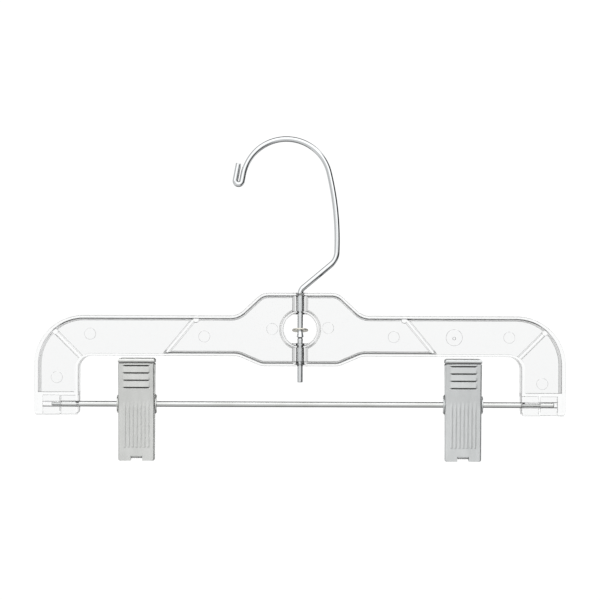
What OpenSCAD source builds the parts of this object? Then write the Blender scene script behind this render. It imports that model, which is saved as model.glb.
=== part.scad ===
// Clear plastic clothes hanger for skirts and trousers: a moulded body, a swivelling wire hook
// and two sprung metal clips that slide along a steel rod.
// Millimetres. Z is up and is the hook's swivel axis, X runs along the rod and the front faces -Y.
// The origin is on the swivel axis, at the top of the body's crown, in the body's middle plane.

/* [Body] */
// Width of the body, over the outer edges of the two legs
body_w = 304.8; // [290:1:330]
// Thickness of the rim, front to back
rim_depth = 9.5; // [9:0.5:12]
// Width of the rim, seen from the front
rim_w = 2.1; // [1.6:0.1:2.3]
// Thickness of the web inside the rim
web_t = 1.8; // [1.2:0.1:3]
// Half of the flat top of the crown
crown_half = 18; // [16:1:22]
// Drop from the crown to the top of the arms
crown_h = 13.1; // [11:0.5:16]
// Height of the arms, top edge to underside
arm_h = 23.7; // [20:0.1:26]
// Drop of the belly in the middle, below the underside of the arms
belly_h = 5.7; // [5:0.2:7]
// Width of each leg
leg_w = 26.2; // [25:0.2:28]
// Radius of the body's outer corners
corner_r = 28.4; // [20:0.2:32]
// Radius of the corners between the arms and the legs
inner_r = 6.9; // [4:0.1:9]

/* [Hook] */
// Thickness of the hook wire
wire_d = 3.3; // [2.8:0.1:3.4]
// Length of the shank's tail below the belly
tail_len = 8.7; // [4:0.1:14]
// Lean of the slanted run, from the vertical
slant_a = 50; // [40:1:58]
// Length of the slanted run
slant_len = 20.8; // [15:0.1:26]
// Radius of the long bowed side
bow_r = 164; // [120:1:220]
// Turn of the long bowed side
bow_a = 16.1; // [12:0.1:20]
// Radius of the loop over the rail
loop_r = 25.2; // [20:0.1:30]
// Turn of the loop over the rail
loop_a = 155.5; // [140:0.5:165]
// Height that the hook can rise in its bosses
hook_lift = 7.2; // [4:0.1:7.2]

/* [Clips] */
// Diameter of the clip rod
rod_d = 3.3; // [3:0.1:3.4]
// Length of the clip rod
rod_len = 288; // [270:1:290]
// Drop from the crown to the rod's axis
rod_drop = 64.2; // [63:0.1:66]
// Distance of each clip from the middle, at rest
clip_x = 93.5; // [50:0.5:108]
// Width of each clip
clip_w = 20.8; // [18:0.2:24]
// Height of the clip above the rod
handle_h = 25.8; // [22:0.1:26]
// Height of the clip below the rod
grip_h = 32.4; // [28:0.1:36]
// Thickness of the clip's sheet metal
sheet_t = 0.8; // [0.6:0.1:1]
// Thickness of the spring wire
spring_d = 1.2; // [1:0.1:1.2]

/* [Hidden] */
$fn = 48;
tiny = 0.01;
// how far a cut reaches past the faces that it opens, and the size of a block larger than a clip
over = 1;
large = 40;
body_half = body_w / 2;
leg_in = body_half - leg_w;
arm_top = -crown_h;
arm_low = arm_top - arm_h;
belly_low = arm_low - belly_h;
rod_z = -rod_drop;
leg_low = rod_z - 6.1;

// shoulders between the crown and the arms, and the belly's slopes
shoulder_r = 10;
shoulder_a = 43;
belly_half = 20.2;
belly_r = 10;
belly_a = 23;
toe_r = 2.6;

// round window and the bosses that guide the hook
window_z = -21.1;
window_r = 9.2;
ring_r = 11.3;
ring_depth = 8.6;
boss_d = 9.3;
upper_boss_low = -12.6;
lower_boss_top = -29;
hook_bore_d = wire_d + 0.2;
mouth_d = 7;
mouth_h = 1.6;

// diagonal ribs across the corners and the arms, with a round pad near the top of each
rib_w = 2.2;
rib_depth = 5;
arm_rib_top_x = 59.6;
arm_rib_low_x = 77.4;
pad_d = 3.6;
pad_depth = 5.8;
arm_pad_drop = 0.6;
corner_pad_drop = 1.6;

// rod sockets at the feet of the legs: half saddles in front of the rod and behind it
socket_top = rod_z + 7;
pocket_end = body_half - 5;
saddle_split = leg_in + 11.6;
saddle_depth = 4.5;
saddle_lap = 1;
socket_wall = 2.5;
rod_bore_d = rod_d + 0.2;
snap_w = 2.9;

// hook bends
wire_r = wire_d / 2;
neck_r = 4;
elbow_r = 10;
elbow_a = slant_a - 2.3;
curl_r = 1.95;
curl_drop = 4;
tip_len = 9.6;
bend_z = -0.6;
bend_lap = 0.05;
bend_slim = 0.01;
swage_top = -22.2;
swage_mid = -25.8;
swage_low = -27;
swage_d = 4.3;
end_chamfer = 0.35;

// retaining washer, which lies tilted on the swaged shoulder
washer_d = 9.4;
washer_hole_d = wire_d + 0.6;
washer_t = 0.8;
washer_tilt = 17;
washer_half_h = 1.8;
washer_z = upper_boss_low - hook_lift - washer_half_h;

// rod ends, a little off centre in the sockets
rod_shift = 1.75;
rod_chamfer = 0.5;

// clip jaws, in their own frame with the rod along X through the origin
jaw_top_y = 8.2;
jaw_rod_y = 5.2;
jaw_low_y = 3.2;
curl_edge_r = 1.8;
curl_lip = 1;
flange_w = 2.6;
flange_top_drop = 1;
flange_low_taper = 0.8;
front_ear_r = 3.9;
rear_ear_r = 4.4;
ear_gap = 0.15;
ear_relief = 0.4;
ear_bore_d = rod_d + 0.16;
handle_bend_z = handle_h - curl_edge_r;
handle_slope = atan((jaw_top_y - jaw_rod_y) / handle_bend_z);
grip_slope = atan((jaw_rod_y - jaw_low_y) / grip_h);
ridge_d = 0.9;
ridge_sink = 0.1;
ridge_len = 14.9;
ridge_pitch = 4.25;
ridge_n = 4;
ridge_top_gap = 4.4;
flute_n = 7;
flute_pitch = 2.25;
flute_low = 25;
notch_w = 6.6;
notch_h = 2.3;
tab_gap = 0.15;
tab_side_gap = 0.2;
tooth_n = 5;
tooth_pitch = 1.2;
tooth_cut = 0.8;

// torsion spring round the rod
coil_r = 2.45;
coil_turns = 5.5;
coil_pitch = spring_d + 0.15;
coil_steps = 16;
leg_lean = 11.4;
leg_len = 14.4;

PLASTIC = [0.90, 0.92, 0.93, 0.5];
CHROME = [0.82, 0.84, 0.85];
ZINC = [0.74, 0.75, 0.74];
YELLOW_ZINC = [0.72, 0.70, 0.62];

// ---------------------------------------------------------------- outline of the body

// Points of an arc round [cx, cz], from angle a0 to a1
function arc(cx, cz, r, a0, a1, n = 8) =
    [for (i = [0:n]) let (a = a0 + (a1 - a0) * i / n) [cx + r * cos(a), cz + r * sin(a)]];

// Run of an S-shaped step of two equal arcs and the straight piece between them
function s_run(drop, r, a) =
    2 * r * sin(a) + (drop - 2 * r * (1 - cos(a))) / tan(a);

// Right half of the outline, clockwise from the crown, moved inwards by d
function half_outline(d) =
    let (shoulder_x = crown_half + s_run(crown_h, shoulder_r, shoulder_a),
         belly_x = belly_half + s_run(belly_h, belly_r, belly_a),
         corner_x = body_half - corner_r)
    concat(
        arc(crown_half, -shoulder_r, shoulder_r - d, 90, 90 - shoulder_a),
        arc(shoulder_x, arm_top + shoulder_r, shoulder_r + d, 270 - shoulder_a, 270),
        arc(corner_x, arm_top - corner_r, corner_r - d, 90, 0, 18),
        arc(body_half - toe_r, leg_low + toe_r, toe_r - d, 0, -90, 4),
        arc(leg_in + toe_r, leg_low + toe_r, toe_r - d, -90, -180, 4),
        arc(leg_in - inner_r, arm_low - inner_r, inner_r + d, 0, 90),
        arc(belly_x, arm_low - belly_r, belly_r + d, 90, 90 + belly_a, 5),
        arc(belly_half, belly_low + belly_r, belly_r - d, 270 + belly_a, 270, 5));

module outline(d = 0) {
    right = half_outline(d);
    n = len(right);
    left = [for (i = [n - 1:-1:0]) [-right[i][0], right[i][1]]];
    polygon(concat(right, left));
}

// Extrudes an X-Z outline to a thickness centred on the middle plane
module slab(t) {
    rotate([90, 0, 0])
        linear_extrude(height = t, center = true)
            children();
}

module both_sides() {
    children();
    mirror([1, 0, 0]) children();
}

// The two sockets are each other turned half a turn about Z
module both_legs() {
    children();
    rotate([0, 0, 180]) children();
}

// ---------------------------------------------------------------- hanger body

module rim() {
    slab(rim_depth) difference() {
        outline();
        outline(rim_w);
    }
}

module web() {
    slab(web_t) difference() {
        outline(rim_w / 2);
        translate([0, window_z]) circle(r = window_r + over);
        both_sides()
            translate([leg_in + rim_w / 2, leg_low - over])
                square([leg_w - rim_w, socket_top - leg_low + over]);
    }
}

module window_ring() {
    slab(ring_depth)
        translate([0, window_z]) difference() {
            circle(r = ring_r);
            circle(r = window_r);
        }
}

module hook_bosses() {
    translate([0, 0, upper_boss_low])
        cylinder(h = -rim_w / 2 - upper_boss_low, d = boss_d);
    translate([0, 0, belly_low + rim_w / 2])
        cylinder(h = lower_boss_top - belly_low - rim_w / 2, d = boss_d);
}

// A straight rib from one point of the X-Z plane to another
module rib(from, to) {
    run = to - from;
    translate([from[0], 0, from[1]])
        rotate([0, -atan2(run[1], run[0]), 0])
            translate([0, -rib_depth / 2, -rib_w / 2])
                cube([norm(run), rib_depth, rib_w]);
}

// A round pad on both faces of the web
module pad(at) {
    translate([at[0], 0, at[1]])
        rotate([90, 0, 0]) cylinder(h = pad_depth, d = pad_d, center = true);
}

// Distance from a point inside a circle round the origin to the circle, along a unit vector
function reach(point, r, along) =
    let (ahead = point * along)
    sqrt(ahead * ahead - point * point + r * r) - ahead;

// The corner rib runs at 45 degrees from the inner corner's arc to the outer corner's arc
module corner_rib() {
    diagonal = [cos(45), sin(45)];
    inner_c = [leg_in - inner_r, arm_low - inner_r];
    outer_c = [body_half - corner_r, arm_top - corner_r];
    length = reach(inner_c - outer_c, corner_r - rim_w / 2, diagonal);
    rib(inner_c + (inner_r + rim_w / 2) * diagonal, inner_c + length * diagonal);
    pad(inner_c + (length - rim_w / 2 - corner_pad_drop) * diagonal);
}

module arm_rib() {
    rib([arm_rib_low_x, arm_low + rim_w / 2], [arm_rib_top_x, arm_top - rim_w / 2]);
    pad([arm_rib_top_x, arm_top - rim_w - arm_pad_drop]);
}

module ribs() {
    corner_rib();
    arm_rib();
}

// The right-hand socket, before the rod's bore is cut
module socket_blocks() {
    inner_x = leg_in + rim_w / 2;
    outer_x = body_half - rim_w / 2;
    height = socket_top - leg_low;
    // front saddle over the inner half of the rod's end
    translate([inner_x, -saddle_depth, leg_low])
        cube([saddle_split - inner_x, saddle_depth, height]);
    // rear saddle over the outer half
    translate([saddle_split - saddle_lap, 0, leg_low])
        cube([pocket_end + saddle_lap - saddle_split, saddle_depth, height]);
    // end block
    translate([pocket_end, -saddle_depth, leg_low])
        cube([outer_x - pocket_end, 2 * saddle_depth, height]);
    // ceiling between the two rims
    translate([inner_x, -saddle_depth, socket_top - rim_w])
        cube([outer_x - inner_x, 2 * saddle_depth, rim_w]);
}

// The open parts of the right-hand foot, where the rim gives way to the saddles
module socket_openings() {
    height = socket_top - rim_w - leg_low;
    front_x = saddle_split;
    translate([front_x, -rim_depth, leg_low - over])
        cube([pocket_end - front_x, rim_depth, height + over]);
    rear_x = leg_in + socket_wall;
    translate([rear_x, 0, leg_low - over])
        cube([saddle_split - saddle_lap - rear_x, rim_depth, height + over]);
}

// The rod's bore, with the slot through the inner wall that it snaps in by
module socket_bore() {
    translate([leg_in - over, 0, rod_z])
        rotate([0, 90, 0]) cylinder(h = pocket_end - leg_in + over, d = rod_bore_d);
    translate([leg_in - over, 0, rod_z - snap_w / 2])
        cube([socket_wall + 2 * over, rim_depth, snap_w]);
}

module hanger_body() {
    color(PLASTIC) difference() {
        union() {
            difference() {
                union() {
                    rim();
                    web();
                }
                both_legs() socket_openings();
            }
            window_ring();
            hook_bosses();
            both_sides() ribs();
            both_legs() difference() {
                socket_blocks();
                socket_openings();
            }
        }
        translate([0, 0, belly_low - over])
            cylinder(h = -belly_low + 2 * over, d = hook_bore_d);
        translate([0, 0, -mouth_h])
            cylinder(h = mouth_h + tiny, d1 = hook_bore_d, d2 = mouth_d);
        both_legs() socket_bore();
    }
}

// ---------------------------------------------------------------- hook

// A straight run of wire along +Z. Its children start at its end
module run(length) {
    cylinder(h = length, r = wire_r);
    translate([0, 0, length]) children();
}

// A bend that turns the wire from +Z towards +X, or towards -X where the turn is negative.
// A slim bend is a hair thinner and reaches a little way into the runs at its two ends
module bend(r, turn, slim = true) {
    side = turn > 0 ? 1 : -1;
    lap_a = slim ? asin(bend_lap / r) : 0;
    translate([side * r, 0, 0])
        rotate([90, 0, turn > 0 ? 180 : 0])
            rotate([0, 0, -lap_a])
                rotate_extrude(angle = abs(turn) + 2 * lap_a)
                    translate([r, 0]) circle(r = slim ? wire_r - bend_slim : wire_r);
    translate([side * r * (1 - cos(turn)), 0, r * sin(abs(turn))])
        rotate([0, turn, 0]) children();
}

module wire_end() {
    cylinder(h = end_chamfer, r1 = wire_r, r2 = wire_r - end_chamfer);
}

// The shoulder pressed into the wire after the washer is threaded on
module swage() {
    translate([0, 0, swage_mid])
        cylinder(h = swage_top - swage_mid, d1 = swage_d, d2 = wire_d);
    translate([0, 0, swage_low])
        cylinder(h = swage_mid - swage_low, d1 = wire_d, d2 = swage_d);
}

module hook_wire() {
    tail_z = belly_low - tail_len;
    color(CHROME) {
        translate([0, 0, tail_z]) {
            mirror([0, 0, 1]) wire_end();
            run(bend_z - tail_z)
                bend(neck_r, slant_a)
                run(slant_len)
                bend(elbow_r, -elbow_a)
                bend(bow_r, -bow_a, slim = false)
                bend(loop_r, -loop_a)
                run(curl_drop)
                bend(curl_r, 180)
                run(tip_len)
                wire_end();
        }
        swage();
    }
}

module retaining_washer() {
    color(YELLOW_ZINC)
        translate([0, 0, washer_z])
            rotate([-washer_tilt, 0, 0])
                difference() {
                    cylinder(h = washer_t, d = washer_d, center = true);
                    cylinder(h = washer_t + over, d = washer_hole_d, center = true);
                }
}

module clip_rod() {
    straight = rod_len - 2 * rod_chamfer;
    color(ZINC)
        translate([rod_shift, 0, rod_z])
            rotate([0, 90, 0]) {
                cylinder(h = straight, d = rod_d, center = true);
                for (side = [0, 1])
                    mirror([0, 0, side])
                        translate([0, 0, straight / 2])
                            cylinder(h = rod_chamfer, d1 = rod_d, d2 = rod_d - 2 * rod_chamfer);
            }
}

// ---------------------------------------------------------------- clips

// Places a clip's parts on the rod
module on_rod(x) {
    translate([x, 0, rod_z]) children();
}

// Extrudes a Y-Z profile along X, centred on x = 0
module across(w) {
    rotate([90, 0, 90])
        linear_extrude(height = w, center = true)
            children();
}

// Side view of the jaw's plate: grip, handle and the edge curled back along the handle's top
module plate_profile() {
    curl_y = curl_edge_r - jaw_top_y;
    inner = curl_edge_r - sheet_t;
    polygon(concat(
        [[-jaw_low_y, -grip_h], [-jaw_rod_y, 0]],
        arc(curl_y, handle_bend_z, curl_edge_r, 180, 90, 6),
        [[curl_y + curl_lip, handle_h], [curl_y + curl_lip, handle_h - sheet_t]],
        arc(curl_y, handle_bend_z, inner, 90, 180, 6),
        [[sheet_t - jaw_rod_y, 0], [sheet_t - jaw_low_y, -grip_h]]));
}

// Side view of the flange folded back from the plate's edge
module flange_profile() {
    polygon([
        [-jaw_low_y, -grip_h], [-jaw_rod_y, 0], [-jaw_top_y, handle_bend_z],
        [flange_w - jaw_top_y, handle_bend_z - flange_top_drop], [flange_w - jaw_rod_y, 0],
        [flange_w - jaw_low_y - flange_low_taper, -grip_h]]);
}

// Rounded front view that trims the plate's corners, with the notch at the bottom
module plate_outline(w) {
    low_r = 1;
    top_r = 1.5;
    difference() {
        union() {
            translate([-w / 2, -grip_h + low_r])
                square([w, grip_h + handle_h - low_r - top_r]);
            translate([low_r - w / 2, -grip_h])
                square([w - 2 * low_r, grip_h]);
            translate([top_r - w / 2, 0])
                square([w - 2 * top_r, handle_h]);
            for (side = [-1, 1]) {
                translate([side * (w / 2 - low_r), low_r - grip_h]) circle(r = low_r);
                translate([side * (w / 2 - top_r), handle_h - top_r]) circle(r = top_r);
            }
        }
        translate([-notch_w / 2, -grip_h - over]) square([notch_w, notch_h + over]);
    }
}

// Finger ridges across the handle and the flutes along the grip
module ridges() {
    for (i = [0:ridge_n - 1])
        let (z = handle_h - ridge_top_gap - i * ridge_pitch)
            translate([0, ridge_sink - jaw_rod_y - z * tan(handle_slope), z])
                rotate([0, 90, 0])
                    cylinder(h = ridge_len, d = ridge_d, center = true);
    for (i = [0:flute_n - 1])
        translate([(i - (flute_n - 1) / 2) * flute_pitch, ridge_sink - jaw_rod_y, 0])
            rotate([180 + grip_slope, 0, 0])
                cylinder(h = flute_low, d = ridge_d);
}

// The toothed tab bent inwards from the top of the notch
module grip_tab() {
    width = notch_w - 2 * tab_side_gap;
    tab_z = notch_h - grip_h;
    translate([0, 0, tab_z])
        difference() {
            translate([-width / 2, -jaw_low_y + sheet_t / 2, 0])
                cube([width, jaw_low_y - sheet_t / 2 - tab_gap, sheet_t]);
            for (i = [0:tooth_n])
                translate([(i - tooth_n / 2) * tooth_pitch, -tab_gap, sheet_t / 2])
                    rotate([0, 0, 45])
                        cube([tooth_cut, tooth_cut, sheet_t + 2 * over], center = true);
        }
}

module ear_bore() {
    rotate([0, 90, 0]) cylinder(h = 2 * clip_w, d = ear_bore_d, center = true);
}

module front_jaw() {
    color(ZINC) difference() {
        union() {
            intersection() {
                union() {
                    across(clip_w) plate_profile();
                    difference() {
                        across(clip_w) flange_profile();
                        across(clip_w - 2 * sheet_t) flange_profile();
                    }
                }
                slab(large) plate_outline(clip_w);
            }
            difference() {
                across(clip_w) ear_profile(front_ear_r);
                across(clip_w - 2 * sheet_t) ear_profile(front_ear_r + over);
            }
            ridges();
            grip_tab();
        }
        ear_bore();
    }
}

// Side view of an ear: a round end on the rod's axis, joined to the plate in front of it
module ear_profile(r) {
    circle(r = r);
    translate([sheet_t - jaw_rod_y, -r]) square([jaw_rod_y - sheet_t, 2 * r]);
}

// The rear jaw's ears lie outside the front jaw's, so its plate is wider beside the rod
module rear_jaw() {
    ear_in = clip_w + 2 * ear_gap;
    ear_out = ear_in + 2 * sheet_t;
    color(ZINC) mirror([0, 1, 0]) difference() {
        union() {
            intersection() {
                union() {
                    across(clip_w) plate_profile();
                    difference() {
                        across(clip_w) flange_profile();
                        across(clip_w - 2 * sheet_t) flange_profile();
                        across(clip_w + over) circle(r = rear_ear_r + ear_relief);
                    }
                }
                slab(large) plate_outline(clip_w);
            }
            intersection() {
                across(ear_out) plate_profile();
                cube([ear_out, large, 2 * rear_ear_r], center = true);
            }
            difference() {
                across(ear_out) ear_profile(rear_ear_r);
                across(ear_in) ear_profile(rear_ear_r + over);
            }
            ridges();
            grip_tab();
        }
        ear_bore();
    }
}

// Centre line of the spring wire: down one leg, round the coil and up the other leg
function spring_path() =
    let (start = 180 + leg_lean,
         turn = 360 * coil_turns - 2 * leg_lean,
         n = round(coil_turns * coil_steps),
         length = coil_turns * coil_pitch,
         coil = [for (i = [0:n])
                     let (a = start + turn * i / n)
                     [length * (i / n - 0.5), coil_r * cos(a), coil_r * sin(a)]],
         up = [0, sin(leg_lean), cos(leg_lean)])
    concat([coil[0] + leg_len * [0, -up[1], up[2]]], coil, [coil[n] + leg_len * up]);

function unit(v) = v / norm(v);

// Rings of points round a path that never runs along X
function tube_points(path, r, sides) =
    [for (i = [0:len(path) - 1])
        let (ahead = path[min(i + 1, len(path) - 1)] - path[max(i - 1, 0)],
             out = unit(cross([1, 0, 0], ahead)),
             over = unit(cross(ahead, out)))
        for (k = [0:sides - 1])
            path[i] + r * (cos(360 * k / sides) * out + sin(360 * k / sides) * over)];

module spring() {
    sides = 8;
    path = spring_path();
    rings = len(path);
    walls = [for (i = [0:rings - 2]) for (k = [0:sides - 1])
                [i * sides + k, (i + 1) * sides + k,
                 (i + 1) * sides + (k + 1) % sides, i * sides + (k + 1) % sides]];
    first = [for (k = [0:sides - 1]) k];
    last = [for (k = [sides - 1:-1:0]) (rings - 1) * sides + k];
    color(ZINC)
        polyhedron(tube_points(path, spring_d / 2, sides), concat(walls, [first, last]), 4);
}

module left_clip_front_jaw() { on_rod(-clip_x) front_jaw(); }
module left_clip_rear_jaw() { on_rod(-clip_x) rear_jaw(); }
module left_clip_spring() { on_rod(-clip_x) spring(); }
module right_clip_front_jaw() { on_rod(clip_x) front_jaw(); }
module right_clip_rear_jaw() { on_rod(clip_x) rear_jaw(); }
module right_clip_spring() { on_rod(clip_x) spring(); }

hanger_body();
hook_wire();
retaining_washer();
clip_rod();
left_clip_front_jaw();
left_clip_rear_jaw();
left_clip_spring();
right_clip_front_jaw();
right_clip_rear_jaw();
right_clip_spring();
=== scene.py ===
"""Looks of a clear plastic clothes hanger with a wire hook and two sprung metal clips.

Shapes are written in millimetres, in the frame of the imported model, and become metres when a
mesh is made. X runs along the rod, the front faces -Y and Z is up, along the hook's shank.
"""
import math

import bmesh
import bpy
from mathutils import Matrix, Vector


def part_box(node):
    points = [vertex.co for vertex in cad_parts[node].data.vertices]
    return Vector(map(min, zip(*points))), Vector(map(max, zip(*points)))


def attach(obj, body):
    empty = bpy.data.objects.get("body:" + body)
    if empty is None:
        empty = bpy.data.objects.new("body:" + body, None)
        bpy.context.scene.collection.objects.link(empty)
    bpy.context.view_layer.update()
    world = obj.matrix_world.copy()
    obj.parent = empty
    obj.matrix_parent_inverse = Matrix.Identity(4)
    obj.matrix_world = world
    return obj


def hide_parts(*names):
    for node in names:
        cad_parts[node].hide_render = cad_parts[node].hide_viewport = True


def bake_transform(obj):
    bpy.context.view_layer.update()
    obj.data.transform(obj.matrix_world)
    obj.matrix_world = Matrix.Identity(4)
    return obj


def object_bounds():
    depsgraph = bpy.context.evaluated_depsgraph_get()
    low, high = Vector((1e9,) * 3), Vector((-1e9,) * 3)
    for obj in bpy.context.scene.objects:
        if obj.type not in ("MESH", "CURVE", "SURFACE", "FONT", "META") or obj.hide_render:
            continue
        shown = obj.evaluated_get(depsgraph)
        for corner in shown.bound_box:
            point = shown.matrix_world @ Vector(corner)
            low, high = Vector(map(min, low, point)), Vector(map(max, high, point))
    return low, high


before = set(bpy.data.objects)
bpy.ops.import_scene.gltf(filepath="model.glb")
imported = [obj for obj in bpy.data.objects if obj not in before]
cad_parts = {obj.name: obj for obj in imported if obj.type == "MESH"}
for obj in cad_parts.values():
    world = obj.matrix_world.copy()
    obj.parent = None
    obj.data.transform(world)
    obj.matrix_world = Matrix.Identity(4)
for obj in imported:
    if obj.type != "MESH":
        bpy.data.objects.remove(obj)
cad_low, cad_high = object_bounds()
scene = bpy.context.scene

MM = 0.001


def box_mm(node):
    """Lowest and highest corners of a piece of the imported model, in millimetres."""
    low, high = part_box(node)
    return low / MM, high / MM


# ---------------------------------------------------------------- sizes taken from the frame

body_low, body_high = box_mm("hanger_body")
washer_low, washer_high = box_mm("retaining_washer")
rod_low, rod_high = box_mm("clip_rod")

BODY_HALF = body_high.x
RIM_HALF_DEPTH = body_high.y
LEG_LOW = body_low.z
ROD_R = rod_high.y
ROD_Z = (rod_low.z + rod_high.z) / 2
TAIL_Z = box_mm("hook_wire")[0].z

# ---------------------------------------------------------------- sizes of the design

# Outline of the body. A shoulder and a belly slope are two arcs each, of a radius and an angle
RIM_W = 2.1
WEB_HALF = 0.9
CROWN_HALF, CROWN_H = 18, 13.1
ARM_TOP = -CROWN_H
ARM_H = 23.7
ARM_LOW = ARM_TOP - ARM_H
BELLY_H, BELLY_HALF, BELLY_R, BELLY_A = 5.7, 20.2, 10, 23
BELLY_LOW = ARM_LOW - BELLY_H
LEG_W = 26.2
LEG_IN = BODY_HALF - LEG_W
CORNER_R, INNER_R, TOE_R, LEAST_TOE_R = 28.4, 6.9, 2.6, 0.05
SHOULDER_R, SHOULDER_A = 10, 43

# Rim section. The inner draft is an angle, the outer one a width lost over the whole depth
RIM_FACE_W, INNER_DRAFT, OUTER_DRAFT = 1.6, 16, 0.4
FILLET_R, EDGE_R = 0.9, 0.3
LEG_EXTRA_W, LEG_EDGE_W = 0.95, 0.8
PLAIN_RIM_W, INNER_LEG_K = 1.65, 1.8

# What stands on the web ends just inside it
SUNK_Y = WEB_HALF - 0.03

# Window and its ring, the marks of the mould, the bosses and the hook's bore
WINDOW_Z, WINDOW_R, RING_R, RING_HALF_DEPTH = -21.1, 9.2, 11.3, 4.3
RING_DRAFT, RING_BORE_ROUND, RING_FOOT_W = 0.6, 0.45, 0.3
EJECTOR_R, EJECTOR_DEPTH = 3.3, 0.12
EJECTOR_MARKS = [(-139.5, -49), (-120.5, -24), (-55, -25.4), (-16, -21),
                 (16, -20.3), (53.7, -25.4), (120, -25.5), (139, -52)]
GATE_MARK, GATE_R, GATE_DEPTH = (88.4, -25.6), 4.75, 0.15
DIMPLE_R, DIMPLE_DEPTH, DIMPLE_DROP = 1.1, 0.4, 0.5
BOSS_R, BOSS_ROUND, BOSS_FLARE = 4.65, 0.3, 1.3
BOSS_LOW, LOWER_BOSS_TOP = -12.6, -29
HOOK_BORE_R, MOUTH_R, MOUTH_H = 1.75, 3.5, 1.6

# Turned shapes on the hook's axis leave out this core, which lies in the bore
CORE_R = 0.5

# Ribs and their pads
RIB_W, RIB_HALF_DEPTH = 2.2, 2.5
RIB_FLARE, RIB_CREST_R, RIB_DRAFT = 0.6, 0.5, 0.3
ARM_RIB_TOP_X, ARM_RIB_LOW_X, ARM_RIB_STEP = 59.6, 77.4, 0.5
PAD_R, PAD_HALF_DEPTH, PAD_ROUND = 1.8, 2.9, 1.1
ARM_PAD_DROP, CORNER_PAD_DROP = 0.6, 1.6

# Feet, with the rod's sockets
SOCKET_TOP = ROD_Z + 7
POCKET_END = BODY_HALF - 5
SADDLE_SPLIT = LEG_IN + 11.6
SADDLE_DEPTH = 4.5
SADDLE_LAP = 1
FOOT_EDGE_R = 0.55
ROD_BORE_R = ROD_R + 0.1
SNAP_W = 2.9

# Half length of a cutter that goes right through the body
THROUGH = 9

# Hook. The swage is a list of heights and radii, the moves run from the boss to the tip
WIRE_R, WIRE_CHAMFER = 1.65, 0.35
SWAGE = [(-21.9, 1.45), (-25.1, 2.05), (-25.4, 2.1), (-26.0, 1.2), (-26.6, 1.65)]
SHANK_TOP = -0.6
HOOK_MOVES = [("bend", 4, 50), ("run", 20.8), ("bend", 10, -47.7), ("bend", 164, -16.1),
              ("bend", 25.2, -155.5), ("run", 4), ("bend", 1.95, 180), ("run", 9.6)]
WASHER_R, WASHER_HOLE_R, WASHER_HALF_T, WASHER_TILT = 4.7, 1.95, 0.4, 12.5

# Clips. Heights are over the rod's axis
GRIP_H, SHEET_T = 32.4, 0.8
HANDLE_SLOPE = math.tan(math.radians(7.125))
GRIP_SLOPE = math.tan(math.radians(3.53))
PLATE_Y, PLATE_BLEND_H = 5.2, 2.0
FLAT_HALF, BEND_R = 9.45, 0.95
LOW_CORNER_R = 1.0
FLANGE_W, FLANGE_TAPER, FLANGE_TAPER_TOP = 2.6, 0.8, -24
FLANGE_END_W, FLANGE_END, FLANGE_FULL = 0.4, 23.7, 22.4
EDGE_ROUND = 0.14
FRONT_EAR_R, REAR_EAR_R, REAR_EAR_JOG = 3.9, 4.4, 0.95
CURL_Y, CURL_Z, CURL_R, CURL_LIP = -7.35, 25.1, 1.3, 1.0
CURL_START, CURL_EXTRA_W, CURL_CORNER_R = 247, 0.55, 1.3
PLATE_TOP, TOP_GROOVE = 23.9, 0.35
RIDGES, RIDGE_PITCH, RIDGE_TOP = 4, 4.2, 22.6
RIDGE_H, RIDGE_RISE, RIDGE_HALF, RIDGE_FULL_HALF = 0.25, 3.1, 8.0, 6.6
GROOVE_DEPTH, GROOVE_FALL, GROOVE_END = 0.35, 0.45, 1.05
FLUTES, FLUTE_PITCH, FLUTE_H, FLUTE_HALF_W = 7, 2.25, 0.17, 0.8
FLUTE_FADE, FLUTE_LOW, FLUTE_LOW_FULL = 3.0, -24.9, -24.4
NOTCH_H, NOTCH_HALF = 2.9, 3.3
TAB_HALF, TAB_TEETH, TAB_TOOTH_HALF, TAB_LEAN, TAB_FOLD_R, TAB_END_Y = 3.1, 5, 0.45, 14, 0.3, -0.2
SPRING_WIRE_R, COIL_R, COIL_TURNS, COIL_PITCH = 0.6, 2.45, 5.5, 1.35
SPRING_LEAN, SPRING_LEG = math.radians(11.4), 14.4


# ---------------------------------------------------------------- mesh helpers

def oval(cx, cy, rx, ry, a0, a1, steps):
    """Points of an elliptical arc, angles in degrees."""
    angles = [math.radians(a0 + (a1 - a0) * i / steps) for i in range(steps + 1)]
    return [(cx + rx * math.cos(a), cy + ry * math.sin(a)) for a in angles]


def arc(cx, cy, r, a0, a1, steps):
    """Points of an arc, angles in degrees."""
    return oval(cx, cy, r, r, a0, a1, steps)


def circle(steps):
    """Points of a circle of radius 1 round the origin."""
    return arc(0, 0, 1, 0, 360, steps)[:-1]


def loft(mesh, rings, closed=False):
    """Skins a row of rings that hold equal numbers of points, in millimetres."""
    rows = [[mesh.verts.new(Vector(p) * MM) for p in ring] for ring in rings]
    count = len(rows[0])
    for i in range(len(rows) if closed else len(rows) - 1):
        a, b = rows[i], rows[(i + 1) % len(rows)]
        for k in range(count):
            j = (k + 1) % count
            mesh.faces.new((a[k], a[j], b[j], b[k]))
    if not closed:
        mesh.faces.new(rows[0])
        mesh.faces.new(rows[-1])


def solid(name, rings, closed=False):
    """A mesh object lofted from rings: capped at its ends, or closed on itself."""
    mesh = bmesh.new()
    loft(mesh, rings, closed)
    bmesh.ops.recalc_face_normals(mesh, faces=mesh.faces)
    data = bpy.data.meshes.new(name)
    mesh.to_mesh(data)
    mesh.free()
    piece = bpy.data.objects.new(name, data)
    scene.collection.objects.link(piece)
    return piece


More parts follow.
